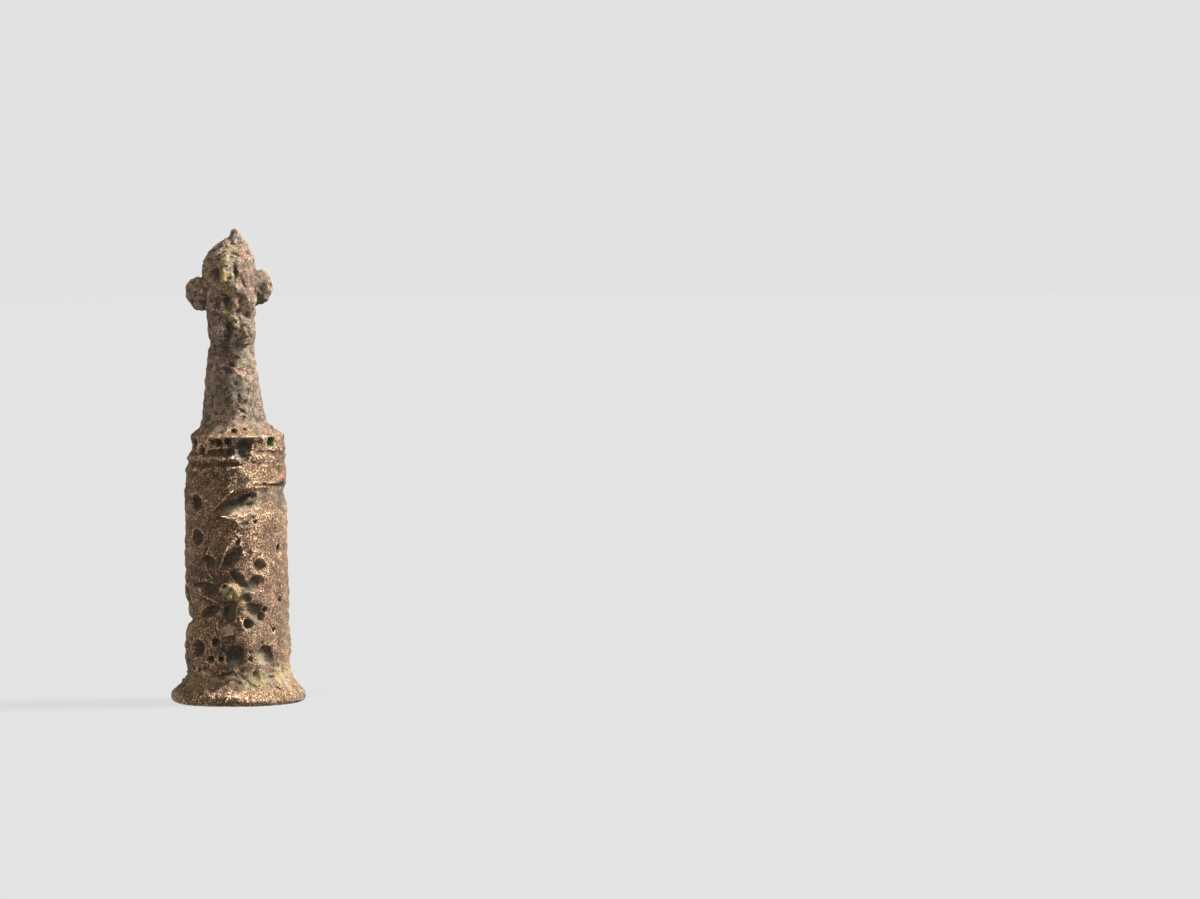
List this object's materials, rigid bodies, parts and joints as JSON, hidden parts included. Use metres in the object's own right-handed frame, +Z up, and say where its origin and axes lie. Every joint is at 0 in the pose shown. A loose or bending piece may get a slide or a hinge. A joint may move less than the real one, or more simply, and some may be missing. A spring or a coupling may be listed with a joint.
{
  "type": "cylinder seal",
  "caption": "Cast bronze stamp-cylinder seal: engraved barrel on a flared stamp foot, banded shoulder, and a neck ending in a small eared animal's head.",
  "frame": {"origin": "centre of the sole of the flared foot, on the surface it stands on", "axes": "+Z up along the seal's axis from the foot to the crest of the head, -Y to the side the head looks to, +X to the right of the seal seen from the front"},
  "size_m": [0.0126, 0.0126, 0.0448],
  "materials": {
    "bronze": "satin"
  },
  "bodies": {
    "root": {"cylinder_seal": "bronze"}
  },
  "joints": []
}
